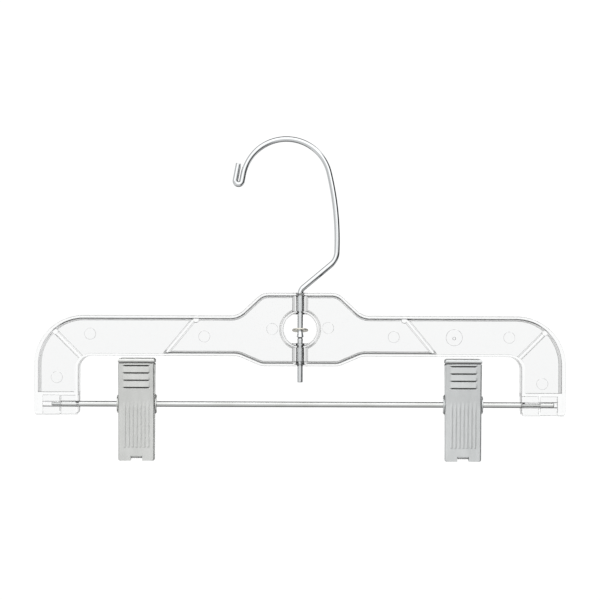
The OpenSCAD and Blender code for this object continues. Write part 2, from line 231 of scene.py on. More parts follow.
def lathe(name, profile, centre, axis, steps=64):
    """Turns a closed profile of (radius, height) points round the Y or the Z axis."""
    rings = []
    for i in range(steps):
        a = 2 * math.pi * i / steps
        c, s = math.cos(a), math.sin(a)
        if axis == "Z":
            ring = [(r * c, r * s, h) for r, h in profile]
        else:
            ring = [(r * c, h, r * s) for r, h in profile]
        rings.append([Vector(centre) + Vector(p) for p in ring])
    return solid(name, rings, closed=True)


def turned(name, profile, centre, steps):
    """Turns an open profile of (radius, y) points round the Y axis and closes it with flat ends."""
    def ring(r, y):
        return [Vector(centre) + Vector((r * c, y, r * s)) for c, s in circle(steps)]

    return solid(name, [ring(r, y) for r, y in profile])


def rod_along(start, end, radius, steps=48):
    """A plain cylinder between two points, for cutting."""
    start, end = Vector(start), Vector(end)
    turn = (end - start).to_track_quat("Z", "X")
    ring = [turn @ Vector((radius * c, radius * s, 0)) for c, s in circle(steps)]
    return solid("cutter", [[start + p for p in ring], [end + p for p in ring]])


def block(low, high, r=0.0):
    """A box between two corners, with its edges rounded by r."""
    (x0, y0, z0), (x1, y1, z1) = low, high
    piece = solid("block", [[(x0, y0, z), (x1, y0, z), (x1, y1, z), (x0, y1, z)] for z in (z0, z1)])
    if r:
        mesh = bmesh.new()
        mesh.from_mesh(piece.data)
        bmesh.ops.bevel(mesh, geom=mesh.edges[:], offset=r * MM, segments=3, affect="EDGES", profile=0.5)
        mesh.to_mesh(piece.data)
        mesh.free()
    return piece


def carve(piece, tool, operation):
    """Joins tool to piece, or cuts it away, and removes the tool."""
    modifier = piece.modifiers.new("carve", "BOOLEAN")
    modifier.operation = operation
    modifier.solver = "MANIFOLD"
    modifier.object = tool
    depsgraph = bpy.context.evaluated_depsgraph_get()
    result = bpy.data.meshes.new_from_object(piece.evaluated_get(depsgraph))
    piece.modifiers.clear()
    piece.data = result
    bpy.data.objects.remove(tool)


def join(piece, *tools):
    """Adds tools to piece, one after the other."""
    for tool in tools:
        carve(piece, tool, "UNION")


def cut(piece, *tools):
    """Cuts tools out of piece, one after the other."""
    for tool in tools:
        carve(piece, tool, "DIFFERENCE")


def shade(piece, sharp_deg=35):
    """Smooth shading that keeps creases sharper than sharp_deg."""
    data = piece.data
    data.shade_smooth()
    data.set_sharp_from_angle(angle=math.radians(sharp_deg))
    weighted = piece.modifiers.new("weighted_normals", "WEIGHTED_NORMAL")
    weighted.keep_sharp = True
    weighted.weight = 80


def finish_piece(piece, name, node, material):
    """Names a piece, gives it its material and puts it in the place of a node."""
    piece.name = name
    piece.data.name = name
    piece.data.materials.clear()
    piece.data.materials.append(material)
    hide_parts(node)


# ---------------------------------------------------------------- materials

def new_material(name, **values):
    """A node material with its Principled inputs set. Returns it, its node tree and its shader."""
    material = bpy.data.materials.new(name)
    material.use_nodes = True
    tree = material.node_tree
    shader = tree.nodes["Principled BSDF"]
    for key, value in values.items():
        shader.inputs[key.replace("_", " ")].default_value = value
    return material, tree, shader


def noise(tree, scale, stretch=(1, 1, 1), detail=4.0, roughness=0.5):
    """Noise in object space. Scale is in features per metre, before the stretch."""
    place = tree.nodes.new("ShaderNodeTexCoord")
    mapping = tree.nodes.new("ShaderNodeMapping")
    mapping.inputs["Scale"].default_value = stretch
    texture = tree.nodes.new("ShaderNodeTexNoise")
    texture.inputs["Scale"].default_value = scale
    texture.inputs["Detail"].default_value = detail
    texture.inputs["Roughness"].default_value = roughness
    tree.links.new(place.outputs["Object"], mapping.inputs["Vector"])
    tree.links.new(mapping.outputs["Vector"], texture.inputs["Vector"])
    return texture.outputs["Fac"]


def spread(tree, value, low, high):
    """Maps the middle of a noise's range, 0.3 to 0.7, to low..high."""
    node = tree.nodes.new("ShaderNodeMapRange")
    node.inputs["From Min"].default_value = 0.3
    node.inputs["From Max"].default_value = 0.7
    node.inputs["To Min"].default_value = low
    node.inputs["To Max"].default_value = high
    tree.links.new(value, node.inputs["Value"])
    return node.outputs["Result"]


def tint(tree, value, dark, light):
    """Blends two colours by a noise."""
    node = tree.nodes.new("ShaderNodeMix")
    node.data_type = "RGBA"
    node.inputs["A"].default_value = (*dark, 1)
    node.inputs["B"].default_value = (*light, 1)
    tree.links.new(spread(tree, value, 0, 1), node.inputs["Factor"])
    return node.outputs["Result"]


def bump(tree, shader, value, height_mm, strength=1.0):
    """Raises the surface by a noise."""
    node = tree.nodes.new("ShaderNodeBump")
    node.inputs["Distance"].default_value = height_mm * MM
    node.inputs["Strength"].default_value = strength
    tree.links.new(value, node.inputs["Height"])
    tree.links.new(node.outputs["Normal"], shader.inputs["Normal"])


def painted_crease_shade(tree, colour, reach_mm, darkest):
    """Darkens a colour in the creases by ambient occlusion: painted shade for the grooves and bends."""
    open_sky = tree.nodes.new("ShaderNodeAmbientOcclusion")
    open_sky.samples = 8
    open_sky.only_local = True
    open_sky.inputs["Distance"].default_value = reach_mm * MM
    depth = tree.nodes.new("ShaderNodeMapRange")
    depth.inputs["From Min"].default_value = 0.76
    depth.inputs["From Max"].default_value = 0.97
    mix = tree.nodes.new("ShaderNodeMix")
    mix.data_type = "RGBA"
    mix.inputs["A"].default_value = (darkest, darkest, darkest, 1)
    tree.links.new(open_sky.outputs["AO"], depth.inputs["Value"])
    tree.links.new(depth.outputs["Result"], mix.inputs["Factor"])
    tree.links.new(colour, mix.inputs["B"])
    return mix.outputs["Result"]


def clear_plastic():
    """Clear polystyrene, faintly wavy. The web is a little greyer than the parts that stand off it."""
    material, tree, shader = new_material(
        "clear_plastic", Roughness=0.02, IOR=1.57, Transmission_Weight=1.0)
    place = tree.nodes.new("ShaderNodeTexCoord")
    axes = tree.nodes.new("ShaderNodeSeparateXYZ")
    depth = tree.nodes.new("ShaderNodeMath")
    depth.operation = "ABSOLUTE"
    edge = tree.nodes.new("ShaderNodeMapRange")
    edge.inputs["From Min"].default_value = 1.1 * MM
    edge.inputs["From Max"].default_value = 2.0 * MM
    colour = tree.nodes.new("ShaderNodeMix")
    colour.data_type = "RGBA"
    colour.inputs["A"].default_value = (0.895, 0.9, 0.9, 1)
    colour.inputs["B"].default_value = (0.95, 0.955, 0.955, 1)
    tree.links.new(place.outputs["Object"], axes.inputs["Vector"])
    tree.links.new(axes.outputs["Y"], depth.inputs[0])
    tree.links.new(depth.outputs[0], edge.inputs["Value"])
    tree.links.new(edge.outputs["Result"], colour.inputs["Factor"])
    tree.links.new(colour.outputs["Result"], shader.inputs["Base Color"])
    bump(tree, shader, noise(tree, 60, detail=2), 0.02)
    return material


def chrome():
    """Bright plating, with fine lines along the wire's shank."""
    material, tree, shader = new_material(
        "chrome_wire", Base_Color=(0.86, 0.88, 0.89, 1), Metallic=1.0, Roughness=0.07)
    plating = tint(tree, noise(tree, 80), (0.85, 0.87, 0.88), (0.87, 0.89, 0.9))
    # Painted shade: the plating's colour is darkened in the creases by ambient occlusion.
    tree.links.new(painted_crease_shade(tree, plating, 1.2, 0.1), shader.inputs["Base Color"])
    grain = noise(tree, 900, stretch=(1, 1, 0.08))
    tree.links.new(spread(tree, grain, 0.05, 0.12), shader.inputs["Roughness"])
    return material


def zinc_rod():
    """Zinc on drawn steel, with fine lines along the rod."""
    material, tree, shader = new_material(
        "zinc_rod", Base_Color=(0.80, 0.81, 0.80, 1), Metallic=1.0, Roughness=0.16)
    grain = noise(tree, 900, stretch=(0.05, 1, 1))
    tree.links.new(spread(tree, grain, 0.1, 0.22), shader.inputs["Roughness"])
    clouds = tint(tree, noise(tree, 60), (0.72, 0.73, 0.71), (0.82, 0.83, 0.83))
    tree.links.new(clouds, shader.inputs["Base Color"])
    return material


def zinc_sheet(name, dark, light):
    """Zinc-plated pressed steel: a satin skin with fine vertical grain and clouded tone."""
    material, tree, shader = new_material(name, Metallic=1.0, Roughness=0.4)
    clouds = noise(tree, 130, stretch=(1, 1, 0.5), detail=6, roughness=0.6)
    grain = noise(tree, 2600, stretch=(1, 1, 0.05), detail=3)
    # Painted shade: the sheet's colour is darkened in the creases and grooves by ambient occlusion.
    colour = painted_crease_shade(tree, tint(tree, clouds, dark, light), 1.4, 0.05)
    tree.links.new(colour, shader.inputs["Base Color"])
    tree.links.new(spread(tree, grain, 0.34, 0.48), shader.inputs["Roughness"])
    bump(tree, shader, grain, 0.01, 0.35)
    return material


def yellow_zinc():
    """Yellow passivated zinc, mottled."""
    material, tree, shader = new_material(
        "yellow_zinc", Base_Color=(0.9, 0.88, 0.79, 1), Metallic=1.0, Roughness=0.4)
    mottle = tint(tree, noise(tree, 700, detail=5), (0.84, 0.81, 0.71), (0.96, 0.94, 0.86))
    tree.links.new(mottle, shader.inputs["Base Color"])
    return material


def spring_steel():
    """Plain spring steel, slightly uneven."""
    material, tree, shader = new_material(
        "spring_wire", Base_Color=(0.56, 0.57, 0.58, 1), Metallic=1.0, Roughness=0.28)
    grain = noise(tree, 2000)
    tree.links.new(spread(tree, grain, 0.22, 0.36), shader.inputs["Roughness"])
    return material


# ---------------------------------------------------------------- hanger body

def s_run(drop, r, a):
    """Run of an S-shaped step of two equal arcs with a straight piece between them."""
    a = math.radians(a)
    return 2 * r * math.sin(a) + (drop - 2 * r * (1 - math.cos(a))) / math.tan(a)


def half_outline(d):
    """Right half of the body's outline, clockwise from the crown, moved inwards by d.

    The rim is wider on the legs, and has a plain inner wall from the toe to the arm rib.
    """
    shoulder_x = CROWN_HALF + s_run(CROWN_H, SHOULDER_R, SHOULDER_A)
    belly_x = BELLY_HALF + s_run(BELLY_H, BELLY_R, BELLY_A)
    outer_d = d + LEG_EXTRA_W * min(1, max(0, d - LEG_EDGE_W) / (RIM_FACE_W - LEG_EDGE_W))
    plain_d = min(d, PLAIN_RIM_W)
    inner_d = plain_d * INNER_LEG_K
    toe = max(TOE_R, outer_d + LEAST_TOE_R)
    return (
        arc(CROWN_HALF, -SHOULDER_R, SHOULDER_R - d, 90, 90 - SHOULDER_A, 14)
        + arc(shoulder_x, ARM_TOP + SHOULDER_R, SHOULDER_R + d, 270 - SHOULDER_A, 270, 14)
        + oval(BODY_HALF - CORNER_R, ARM_TOP - CORNER_R, CORNER_R - outer_d, CORNER_R - d, 90, 0, 48)
        + arc(BODY_HALF - toe, LEG_LOW + toe, toe - outer_d, 0, -90, 8)
        + arc(LEG_IN + toe, LEG_LOW + toe, toe - inner_d, -90, -180, 8)
        + oval(LEG_IN - INNER_R, ARM_LOW - INNER_R, INNER_R + inner_d, INNER_R + plain_d, 0, 90, 16)
        + [(ARM_RIB_LOW_X + ARM_RIB_STEP, ARM_LOW + plain_d), (ARM_RIB_LOW_X - ARM_RIB_STEP, ARM_LOW + d)]
        + arc(belly_x, ARM_LOW - BELLY_R, BELLY_R + d, 90, 90 + BELLY_A, 8)
        + arc(BELLY_HALF, BELLY_LOW + BELLY_R, BELLY_R - d, 270 + BELLY_A, 270, 8))


def outline_ring(d, y):
    """The body's whole outline at depth y, moved inwards by d."""
    right = half_outline(d)
    return [(x, y, z) for x, z in right] + [(-x, y, z) for x, z in reversed(right)]


def rim_section():
    """(inset, y) points from the front of the web, over the rim, to the back of the web.

    The inner walls are drafted from the web, the outer wall from the parting line at the back.
    """
    top = RIM_HALF_DEPTH
    slope = math.radians(INNER_DRAFT)

    def wall(y):
        return RIM_FACE_W + (top - y) * math.tan(slope)

    foot_y = WEB_HALF + FILLET_R
    half = arc(wall(foot_y) + FILLET_R / math.cos(slope), foot_y, FILLET_R, 270, 180 + INNER_DRAFT, 6)
    corner = top - EDGE_R
    half += arc(wall(corner) - EDGE_R / math.cos(slope), corner, EDGE_R, INNER_DRAFT, 90, 4)
    front = half + arc(OUTER_DRAFT + EDGE_R, corner, EDGE_R, 90, 180, 4)
    back = half + arc(EDGE_R, corner, EDGE_R, 90, 180, 4)
    return [(d, -y) for d, y in front] + [(d, y) for d, y in reversed(back)]


def window_ring():
    """The collar round the window, on both faces of the web."""
    flare = RING_R + FILLET_R
    corner = RING_HALF_DEPTH - EDGE_R
    half = arc(RING_R - RING_DRAFT - EDGE_R, corner, EDGE_R, 90, 0, 4)
    half += arc(flare, SUNK_Y + FILLET_R, FILLET_R, 180, 270, 6)
    half += [(flare + RING_FOOT_W, SUNK_Y)]
    round_r = RING_BORE_ROUND
    lip = RING_HALF_DEPTH - round_r
    back = arc(WINDOW_R + round_r, lip, round_r, 180, 90, 6) + half
    front = arc(WINDOW_R + OUTER_DRAFT + round_r, lip, round_r, 180, 90, 6) + half
    profile = back + [(r, -y) for r, y in reversed(front)]
    return lathe("ring", profile, (0, 0, WINDOW_Z), "Y", 96)


def upper_boss():
    """The boss under the crown. Its core is bored out with the body."""
    profile = [(CORE_R, -RIM_W / 2), (CORE_R, BOSS_LOW)]
    profile += arc(BOSS_R - BOSS_ROUND, BOSS_LOW + BOSS_ROUND, BOSS_ROUND, -90, 0, 6)
    profile += [(BOSS_R, -RIM_W / 2)]
    return lathe("boss", profile, (0, 0, 0), "Z", 48)


def lower_boss():
    """The boss over the belly, flared where it meets the rim. Its core is bored out with the body."""
    foot_z = BELLY_LOW + RIM_W / 2
    flare_z = BELLY_LOW + RIM_W - 0.1 + BOSS_FLARE
    profile = arc(BOSS_R - BOSS_ROUND, LOWER_BOSS_TOP - BOSS_ROUND, BOSS_ROUND, 90, 0, 5)
    profile += arc(BOSS_R + BOSS_FLARE, flare_z, BOSS_FLARE, 180, 255, 6)
    profile += [(BOSS_R + BOSS_FLARE, foot_z), (CORE_R, foot_z), (CORE_R, LOWER_BOSS_TOP)]
    return lathe("boss", profile, (0, 0, 0), "Z", 48)


def rib(start, end):
    """A rounded rib on both faces of the web, from one X-Z point to another."""
    start, end = Vector((start[0], 0, start[1])), Vector((end[0], 0, end[1]))
    across = (end - start).normalized().cross(Vector((0, 1, 0)))
    half = RIB_W / 2
    side = arc(half - RIB_DRAFT - RIB_CREST_R, RIB_HALF_DEPTH - RIB_CREST_R, RIB_CREST_R, 90, 0, 4)
    side += arc(half + RIB_FLARE, SUNK_Y + RIB_FLARE, RIB_FLARE, 180, 270, 5)
    right = side + [(u, -y) for u, y in reversed(side)]
    section = right + [(-u, y) for u, y in reversed(right)]
    return solid("rib", [[at + across * u + Vector((0, y, 0)) for u, y in section] for at in (start, end)])


def pad(x, z):
    """The round pad near the top of a rib."""
    profile = arc(PAD_R - PAD_ROUND, -PAD_HALF_DEPTH + PAD_ROUND, PAD_ROUND, -90, -12, 5)
    profile += [(r, -y) for r, y in reversed(profile)]
    return turned("pad", profile, (x, 0, z), 32)


def corner_rib(side):
    """The rib at 45 degrees from the inner corner's arc to the outer corner's arc, with its pad."""
    inner = Vector((LEG_IN - INNER_R, ARM_LOW - INNER_R))
    outer = Vector((BODY_HALF - CORNER_R, ARM_TOP - CORNER_R))
    diagonal = Vector((1, 1)).normalized()
    ahead = (inner - outer).dot(diagonal)
    mid_r = CORNER_R - RIM_W / 2
    length = math.sqrt(ahead ** 2 - (inner - outer).length_squared + mid_r ** 2) - ahead
    start = inner + (INNER_R + RIM_W / 2) * diagonal
    end = inner + length * diagonal
    top = inner + (length - RIM_W / 2 - CORNER_PAD_DROP) * diagonal
    return rib((side * start.x, start.y), (side * end.x, end.y)), pad(side * top.x, top.y)


def arm_rib(side):
    """The slanted rib across an arm, with its pad."""
    low = (side * ARM_RIB_LOW_X, ARM_LOW + RIM_W / 2)
    top = (side * ARM_RIB_TOP_X, ARM_TOP - RIM_W / 2)
    return rib(low, top), pad(side * ARM_RIB_TOP_X, ARM_TOP - RIM_W - ARM_PAD_DROP)


def leg_opening(side):
    """A cutter for the web between the rims of a leg, up to the roof of its socket."""
    x0, x1 = sorted((side * (LEG_IN + RIM_W), side * (BODY_HALF - RIM_W)))
    return block((x0, -THROUGH, LEG_LOW + RIM_W), (x1, THROUGH, SOCKET_TOP - 0.5))


def foot(side):
    """Solids to join, to open and to bore for a foot. The left one is the right one turned about Z.

    The saddle that holds the rod is in two halves, the inner one in front and the outer one behind.
    """
    inner_x = LEG_IN + RIM_W / 2
    outer_x = BODY_HALF - RIM_W / 2
    low, top = LEG_LOW + 0.02, SOCKET_TOP
    roof, under = top - RIM_W, low - 2
    half_lap = 0.3
    added = [
        block((inner_x, -SADDLE_DEPTH, low), (SADDLE_SPLIT, half_lap, top), FOOT_EDGE_R),
        block((SADDLE_SPLIT - SADDLE_LAP, -half_lap, low),
              (POCKET_END + SADDLE_LAP, SADDLE_DEPTH, top), FOOT_EDGE_R),
        block((POCKET_END, -SADDLE_DEPTH, low), (outer_x, SADDLE_DEPTH, top), FOOT_EDGE_R),
        block((inner_x, -SADDLE_DEPTH, roof), (outer_x, SADDLE_DEPTH, top), FOOT_EDGE_R)]
    opened = [
        block((SADDLE_SPLIT, -THROUGH, under), (POCKET_END, 0, roof)),
        block((inner_x + RIM_W / 2 + 0.4, 0, under), (SADDLE_SPLIT - SADDLE_LAP, THROUGH, roof))]
    bored = [
        rod_along((LEG_IN - 1, 0, ROD_Z), (POCKET_END, 0, ROD_Z), ROD_BORE_R),
        block((LEG_IN - 1, 0, ROD_Z - SNAP_W / 2), (LEG_IN + RIM_W + 1, THROUGH, ROD_Z + SNAP_W / 2))]
    if side < 0:
        for piece in added + opened + bored:
            piece.data.transform(Matrix.Rotation(math.pi, 4, "Z"))
    return added, opened, bored


def dish(x, z, r, depth):
    """A cutter for a shallow round mark in the back of the web."""
    surface = WEB_HALF + 0.01
    return turned("dish", [(r - depth, surface - depth), (r, surface)], (x, 0, z), 40)


def mould_marks():
    """Cutters for the ejector marks, and for the gate mark with its dimple."""
    marks = [dish(x, z, EJECTOR_R, EJECTOR_DEPTH) for x, z in EJECTOR_MARKS]
    x, z = GATE_MARK
    return marks + [dish(x, z, GATE_R, GATE_DEPTH), dish(x, z - DIMPLE_DROP, DIMPLE_R, DIMPLE_DEPTH)]


def hook_mouth():
    """A cutter for the cone at the top of the hook's bore, round a core that the bore has cut away."""
    over = 1
    top_r = MOUTH_R + (MOUTH_R - HOOK_BORE_R) / MOUTH_H * over
    profile = [(CORE_R, over), (top_r, over), (HOOK_BORE_R - 0.01, -MOUTH_H), (CORE_R, -MOUTH_H)]
    return lathe("mouth", profile, (0, 0, 0), "Z", 48)


def hanger_body():
    """The one-piece moulding."""
    body = solid("body", [outline_ring(d, y) for d, y in rim_section()])
    cut(body, rod_along((0, -THROUGH, WINDOW_Z), (0, THROUGH, WINDOW_Z), WINDOW_R + 1, 96))
    for side in (-1, 1):
        cut(body, leg_opening(side))
    feet = [foot(side) for side in (-1, 1)]
    for added, opened, _ in feet:
        join(body, *added)
        cut(body, *opened)
    join(body, window_ring(), upper_boss(), lower_boss())
    for side in (-1, 1):
        join(body, *corner_rib(side), *arm_rib(side))
    cut(body, rod_along((0, 0, BELLY_LOW - 2), (0, 0, 2), HOOK_BORE_R), hook_mouth())
    for _, _, bored in feet:
        cut(body, *bored)
    cut(body, *mould_marks())
    shade(body)
    return body


# ---------------------------------------------------------------- hook, washer and rod

def run_stations(x, z, heading, length):
    """Stations of a straight run that starts at a station."""
    step = 0.25
    steps = max(1, round(length / step))
    stations = []
    for _ in range(steps):
        x += math.sin(heading) * length / steps
        z += math.cos(heading) * length / steps
        stations.append((x, z, heading))
    return stations


def bend_stations(x, z, heading, radius, angle):
    """Stations of a bend that starts at a station. Its angle is in degrees, positive to the right."""
    step, finest_r = 0.8, 6
    total = math.radians(angle)
    side = 1 if total > 0 else -1
    cx, cz = x + side * radius * math.cos(heading), z - side * radius * math.sin(heading)
    steps = max(4, math.ceil(abs(total) * max(radius, finest_r) / step))
    headings = [heading + total * i / steps for i in range(1, steps + 1)]
    return [(cx - side * radius * math.cos(h), cz + side * radius * math.sin(h), h) for h in headings]


def hook_path():
    """(x, z, heading) stations along the wire from its tail. Heading 0 is up, in radians."""
    stations = [(0.0, TAIL_Z + WIRE_CHAMFER, 0.0)]
    stations += run_stations(*stations[-1], SHANK_TOP - stations[-1][1])
    for kind, *sizes in HOOK_MOVES:
        trace = run_stations if kind == "run" else bend_stations
        stations += trace(*stations[-1], *sizes)
    return stations


def swage_radius(z):
    """The wire swells into a pressed shoulder below the washer, with a groove under it."""
    for (top, top_r), (low, low_r) in zip(SWAGE, SWAGE[1:]):
        if low <= z < top:
            return low_r + (top_r - low_r) * (z - low) / (top - low)
    return WIRE_R


def wire_ring(x, z, heading, r):
    """Ring of points round the wire at a station."""
    over = Vector((math.cos(heading), 0, -math.sin(heading)))
    return [Vector((x, 0, z)) + over * (r * c) + Vector((0, r * s, 0)) for c, s in circle(28)]


def hook_wire():
    """The hook, from the cut tail to the folded tip, with both ends chamfered."""
    knee, knee_loss = 0.25, 0.12
    rings = [wire_ring(0, TAIL_Z, 0, WIRE_R - WIRE_CHAMFER),
             wire_ring(0, TAIL_Z + WIRE_CHAMFER - knee, 0, WIRE_R - knee_loss)]
    for x, z, heading in hook_path():
        on_shank = abs(x) < 0.01 and z < 0
        rings.append(wire_ring(x, z, heading, swage_radius(z) if on_shank else WIRE_R))
    for past, loss in ((knee, knee_loss), (WIRE_CHAMFER, WIRE_CHAMFER)):
        tip_x, tip_z = x + math.sin(heading) * past, z + math.cos(heading) * past
        rings.append(wire_ring(tip_x, tip_z, heading, WIRE_R - loss))
    hook = solid("hook", rings)
    shade(hook, 50)
    return hook


def retaining_washer():
    """The washer with its rounded edges, lying tilted on the wire's shoulder."""
    outer_round, hole_round, half = 0.22, 0.15, WASHER_HALF_T
    rim, hole = WASHER_R - outer_round, WASHER_HOLE_R + hole_round
    profile = arc(rim, half - outer_round, outer_round, 90, 0, 3)
    profile += arc(rim, -half + outer_round, outer_round, 0, -90, 3)
    profile += arc(hole, -half + hole_round, hole_round, 270, 180, 2)
    profile += arc(hole, half - hole_round, hole_round, 180, 90, 2)
    washer = lathe("washer", profile, (0, 0, 0), "Z", 64)
    centre = (washer_low + washer_high) / 2 * MM
    tilt = Matrix.Rotation(-math.radians(WASHER_TILT), 4, "X")
    washer.data.transform(Matrix.Translation(centre) @ tilt)
    shade(washer, 50)
    return washer


def clip_rod():
    """The straight rod. Its ends are lists of distances from the end, and the radii there."""
    ends = [(0, 1.15), (0.12, 1.35), (0.35, 1.58), (0.6, ROD_R)]
    pitch = 8
    places = [(rod_low.x + at, r) for at, r in ends]
    places += [(rod_low.x + pitch * i, ROD_R) for i in range(1, int((rod_high.x - rod_low.x) / pitch))]
    places += [(rod_high.x - at, r) for at, r in reversed(ends)]
    rod = solid("rod", [[(x, r * c, ROD_Z + r * s) for c, s in circle(36)] for x, r in places])
    shade(rod, 50)
    return rod


# ---------------------------------------------------------------- clips

def ramp(value, zero_at, one_at):
    """Smooth step that is 0 where value is zero_at and before, and 1 at one_at and past it."""
    t = min(1.0, max(0.0, (value - zero_at) / (one_at - zero_at)))
    return t * t * (3 - 2 * t)


def plate_y(z):
    """Y of the outer face of a front jaw's plate at height z over the rod."""
    if z < -PLATE_BLEND_H:
        lift = 0
    elif z < PLATE_BLEND_H:
        lift = (z + PLATE_BLEND_H) ** 2 / (4 * PLATE_BLEND_H)
    else:
        lift = z
    return -PLATE_Y - z * GRIP_SLOPE - lift * (HANDLE_SLOPE - GRIP_SLOPE)


def ridge(u):
    """Height over the plate at u above a ridge's crest, with the groove pressed in under it."""
    if u >= 0:
        return RIDGE_H * max(0.0, 1 - u / RIDGE_RISE)
    if u > -GROOVE_FALL:
        return RIDGE_H - (RIDGE_H + GROOVE_DEPTH) * ramp(-u, 0, GROOVE_FALL)
    return -GROOVE_DEPTH * ramp(-u, GROOVE_END, GROOVE_FALL)


def emboss(x, z):
    """Height of the pressed ridges and flutes over the plate."""
    height = 0.0
    for i in range(RIDGES):
        height += ridge(z - (RIDGE_TOP - i * RIDGE_PITCH)) * ramp(abs(x), RIDGE_HALF, RIDGE_FULL_HALF)
    if z < FLUTE_FADE:
        along = ramp(z, FLUTE_FADE, -FLUTE_FADE) * ramp(z, FLUTE_LOW, FLUTE_LOW_FULL)
        for i in range(FLUTES):
            u = abs(x - (i - FLUTES // 2) * FLUTE_PITCH)
            if u < FLUTE_HALF_W:
                height = max(height, FLUTE_H * along * math.cos(u / FLUTE_HALF_W * math.pi / 2) ** 1.5)
    return height


def span(start, step, count):
    """Evenly spaced heights."""
    return {start + step * i for i in range(count)}


def plate_heights(ear_r):
    """Heights of the plate's rows, closest where its shape changes quickly."""
    heights = {s - GRIP_H for s in (0.0, 0.12, 0.3, 0.55, 0.85, 1.2, 1.8, 2.6, 4, 5.4)}
    flute_ends, flutes = span(-25.4, 0.1, 15), span(-22, 1.5, 10)
    handle, ridges, top_groove = span(3, 0.45, 9), span(7.2, 0.17, 94), span(23.0, 0.1, 9)
    heights |= flute_ends | flutes | handle | ridges | top_groove
    for side in (-1, 1):
        heights |= {side * ear_r * math.sin(math.radians(9 * i)) for i in range(11)}
        heights |= {side * (ear_r + 0.15 * i) for i in range(1, 13)}
    closest = 0.05
    kept = []
    for z in sorted(heights):
        if z < PLATE_TOP and (not kept or z - kept[-1] > closest):
            kept.append(z)
    return kept


def flange_length(z, ear_r):
    """How far a side flange reaches back from the plate's face: furthest at the ear."""
    side = FLANGE_W - FLANGE_TAPER * ramp(z, FLANGE_TAPER_TOP, -GRIP_H)
    over = abs(z) - ear_r
    if over <= 0:
        return -plate_y(z) + math.sqrt(max(0.0, ear_r ** 2 - z * z))
    if z > FLANGE_FULL:
        return FLANGE_END_W + (side - FLANGE_END_W) * ramp(z, FLANGE_END, FLANGE_FULL)
    return side + (-plate_y(z) - side) * ramp(over, 0.9, 0)


def plate_rows(ear_r, jog):
    """Rows up the plate: y and z of the face, depth direction, flat half width, flange length.

    The plate is wider by the jog at the ears, and its lower corners are round.
    """
    rows = []
    for z in plate_heights(ear_r):
        corner = max(0.0, 1 - (z + GRIP_H) / LOW_CORNER_R)
        shrink = 1 - math.sqrt(1 - corner ** 2)
        widen = jog * (1 - ramp(abs(z), ear_r + 0.3, ear_r + 1.5))
        groove = TOP_GROOVE * ramp(z, PLATE_TOP - 0.9, PLATE_TOP - 0.2)
        flange = flange_length(z, ear_r) * (1 - 0.7 * shrink)
        rows.append((plate_y(z) + groove, z, (1.0, 0.0), FLAT_HALF - shrink + widen, flange))
    return rows


def curl_rows():
    """Rows round the curled top edge and along its lip, as in plate_rows."""
    half = FLAT_HALF + CURL_EXTRA_W
    steps = 14
    rows = []
    for i in range(steps + 1):
        a = math.radians(CURL_START - (CURL_START - 90) * i / steps)
        y, z = CURL_Y + CURL_R * math.cos(a), CURL_Z + CURL_R * math.sin(a)
        rise = max(0.0, (z - CURL_Z) / CURL_R)
        shrink = CURL_CORNER_R * (1 - math.sqrt(max(0.0, 1 - rise ** 2)))
        rows.append((y, z, (-math.cos(a), -math.sin(a)), half - shrink, FLANGE_END_W))
    for share in (0.4, 0.8, 1.0):
        y, z = CURL_Y + CURL_LIP * share, CURL_Z + CURL_R
        rows.append((y, z, (0.0, -1.0), half - CURL_CORNER_R, FLANGE_END_W))
    return rows


def jaw_row(row):
    """The closed ring of points of one row: along the outer face, back along the inner face."""
    columns, bend_steps, flange_steps, least_run = 48, 6, 4, 0.05
    y, z, (dy, dz), flat, flange = row
    phi = min(1.0, flange / (BEND_R * math.pi / 2)) * math.pi / 2
    bends_fully = phi > 1.5
    run = max(least_run, flange - BEND_R) if bends_fully else least_run
    inner_r = BEND_R - SHEET_T

    def place(x, depth):
        return (x, y + dy * depth, z + dz * depth)

    outer, inner = [], []
    for i in range(columns + 1):
        x = flat * i / columns
        lift = emboss(x, z) if z < PLATE_TOP else 0.0
        outer.append(place(x, -lift))
        inner.append(place(x, SHEET_T - lift))
    for i in range(1, bend_steps + 1):
        p = phi * i / bend_steps
        outer.append(place(flat + BEND_R * math.sin(p), BEND_R * (1 - math.cos(p))))
        inner.append(place(flat + inner_r * math.sin(p), BEND_R - inner_r * math.cos(p)))
    for i in range(1, flange_steps + 1):
        s = run * i / flange_steps
        aside, back = math.cos(phi) * s, math.sin(phi) * s
        outer.append(place(flat + BEND_R * math.sin(phi) + aside, BEND_R * (1 - math.cos(phi)) + back))
        inner.append(place(flat + inner_r * math.sin(phi) + aside, BEND_R - inner_r * math.cos(phi) + back))
    a, b = Vector(outer[-1]), Vector(inner[-1])
    tip = (a - Vector(outer[-2])).normalized() * EDGE_ROUND
    edge = [a.lerp(b, 0.25) + tip, a.lerp(b, 0.75) + tip]
    right = outer + edge + inner[::-1]
    left = [(-p[0], p[1], p[2]) for p in inner[1:] + edge[::-1] + outer[:0:-1]]
    return right + left


